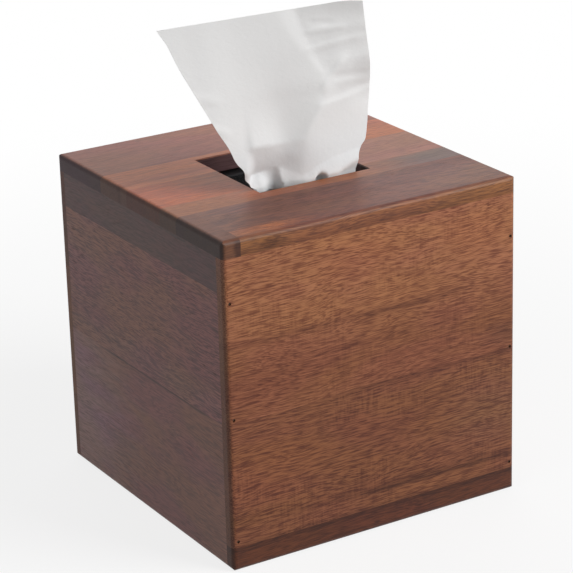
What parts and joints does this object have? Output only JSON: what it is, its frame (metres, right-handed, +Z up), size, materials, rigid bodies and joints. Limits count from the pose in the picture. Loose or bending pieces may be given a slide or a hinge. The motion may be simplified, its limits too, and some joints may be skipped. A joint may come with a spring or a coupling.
{
  "type": "tissue box cover",
  "caption": "Square wooden tissue box cover of edge-glued staves, pinned at the corners, lifting off a cube refill carton with a folded tissue drawn up through its square slot.",
  "frame": {"origin": "The middle of the square that the cover stands on, at the level of the surface under it.", "axes": "+Z is up, -Y is the bright front board with its brads, +X is to the right seen from the front."},
  "size_m": [0.135, 0.135, 0.2051],
  "materials": {
    "golden_stave": "satin",
    "brown_stave": "satin",
    "dark_stave": "satin",
    "top_stave": "satin",
    "brad_steel": "matte",
    "carton_card": "matte",
    "clear_film": "gloss",
    "tissue_paper": "matte"
  },
  "bodies": {
    "refill": {"carton": "carton_card", "window_film": "clear_film", "tissue_stack": "tissue_paper", "tissue_sheet": "tissue_paper"},
    "cover": {"front_foot_stave": "dark_stave", "front_lower_stave": "brown_stave", "front_upper_stave": "golden_stave", "back_lower_stave": "brown_stave", "back_middle_stave": "golden_stave", "back_upper_stave": "dark_stave", "left_lower_stave": "brown_stave", "left_middle_stave": "brown_stave", "left_upper_stave": "dark_stave", "right_lower_stave": "brown_stave", "right_middle_stave": "golden_stave", "right_upper_stave": "dark_stave", "top_back_stave": "top_stave", "top_rear_notched_stave": "top_stave", "top_middle_left_stave": "top_stave", "top_middle_right_stave": "top_stave", "top_fore_notched_stave": "top_stave", "top_front_stave": "top_stave", "top_corner_block": "top_stave", "front_brads": "brad_steel", "back_brads": "brad_steel"}
  },
  "joints": [
    {"name": "cover_lift", "type": "slide", "parent": "refill", "child": "cover", "axis": [0, 0, 1], "range_m": [0, 0.15], "deforming": ["tissue_sheet"]}
  ]
}
